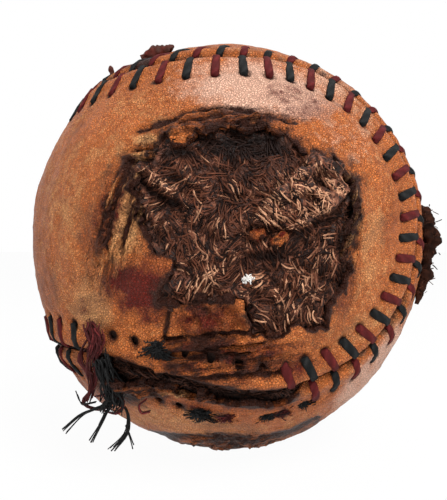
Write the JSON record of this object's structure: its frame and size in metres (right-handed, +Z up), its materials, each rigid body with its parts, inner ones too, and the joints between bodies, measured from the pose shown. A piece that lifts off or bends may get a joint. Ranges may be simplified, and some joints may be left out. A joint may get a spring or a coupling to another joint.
{
  "type": "baseball",
  "caption": "Worn leather baseball with a two-panel figure-eight cover, alternate red and black stitches, a torn front that shows matted wool, and a wound core.",
  "frame": {"origin": "centre of the ball", "axes": "+Z up as the ball is pictured, -Y towards the viewer and the torn side, +X to the viewer's right"},
  "size_m": [0.0763, 0.0746, 0.074],
  "materials": {
    "cork": "pressed cork",
    "black_rubber": "moulded black rubber",
    "red_rubber": "moulded red rubber",
    "grey_yarn": "wound wool yarn",
    "white_yarn": "wound wool yarn",
    "brown_wool": "matted, soiled wool fibres",
    "worn_leather": "worn, stained brown leather",
    "red_thread": "faded dark red waxed thread",
    "black_thread": "faded black waxed thread"
  },
  "bodies": {
    "root": {"cork_core": "cork", "upper_rubber_cup": "black_rubber", "lower_rubber_cup": "black_rubber", "cup_washer": "red_rubber", "outer_rubber_layer": "red_rubber", "first_winding": "grey_yarn", "second_winding": "white_yarn", "third_winding": "grey_yarn", "finish_winding": "brown_wool", "matted_wool": "brown_wool", "front_cover_panel": "worn_leather", "rear_cover_panel": "worn_leather", "front_red_stitches": "red_thread", "front_black_stitches": "black_thread", "rear_red_stitches": "red_thread", "rear_black_stitches": "black_thread", "red_thread_stubs": "red_thread", "black_thread_stubs": "black_thread", "side_fibre_tuft": "brown_wool", "top_leather_flap": "worn_leather", "red_thread_hank": "red_thread", "frayed_black_end": "black_thread"}
  },
  "joints": []
}
